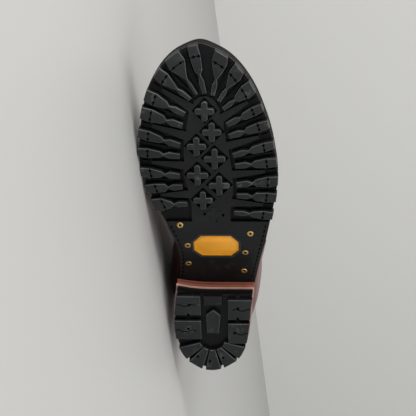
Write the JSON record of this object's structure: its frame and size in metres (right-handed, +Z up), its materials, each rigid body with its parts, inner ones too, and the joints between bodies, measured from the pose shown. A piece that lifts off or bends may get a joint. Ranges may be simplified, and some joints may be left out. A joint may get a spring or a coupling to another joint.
{
  "type": "linesman boot",
  "caption": "Tall lace-up leather work boot for the left foot, with a lugged rubber sole and a stacked leather heel, lying on its inner side",
  "frame": {"origin": "centre of the bounding box's underside, on the floor the boot lies on", "axes": "+Z up from the floor, +Y from the sole towards the collar, -X towards the toe; the boot lies on its inner side"},
  "size_m": [0.308, 0.455, 0.1167],
  "materials": {
    "rubber": "matte moulded rubber",
    "sole_leather": "dyed and edge-waxed sole leather",
    "upper_leather": "smooth oiled dark red-brown leather",
    "brass": "plain brass",
    "badge_yellow": "bare yellow plate",
    "lace_cord": "braided dark red lace"
  },
  "bodies": {
    "root": {"outsole": "rubber", "heel_top_piece": "rubber", "badge_plate": "badge_yellow", "midsole": "sole_leather", "welt": "sole_leather", "heel_lift_1": "sole_leather", "heel_lift_2": "sole_leather", "heel_lift_3": "sole_leather", "insole": "sole_leather", "upper": "upper_leather", "heel_counter": "upper_leather", "eyestay_inner": "upper_leather", "eyestay_outer": "upper_leather", "back_stay": "upper_leather", "tongue": "upper_leather", "lace": "lace_cord", "eyelet_inner_1": "brass", "eyelet_inner_2": "brass", "eyelet_inner_3": "brass", "eyelet_inner_4": "brass", "eyelet_inner_5": "brass", "eyelet_inner_6": "brass", "eyelet_inner_7": "brass", "eyelet_inner_8": "brass", "eyelet_outer_1": "brass", "eyelet_outer_2": "brass", "eyelet_outer_3": "brass", "eyelet_outer_4": "brass", "eyelet_outer_5": "brass", "eyelet_outer_6": "brass", "eyelet_outer_7": "brass", "eyelet_outer_8": "brass", "hook_inner_1": "brass", "hook_inner_2": "brass", "hook_inner_3": "brass", "hook_inner_4": "brass", "hook_inner_5": "brass", "hook_inner_6": "brass", "hook_inner_7": "brass", "hook_inner_8": "brass", "hook_outer_1": "brass", "hook_outer_2": "brass", "hook_outer_3": "brass", "hook_outer_4": "brass", "hook_outer_5": "brass", "hook_outer_6": "brass", "hook_outer_7": "brass", "hook_outer_8": "brass", "nail_1": "brass", "nail_2": "brass", "nail_3": "brass", "nail_4": "brass", "nail_5": "brass", "nail_6": "brass"}
  },
  "joints": []
}
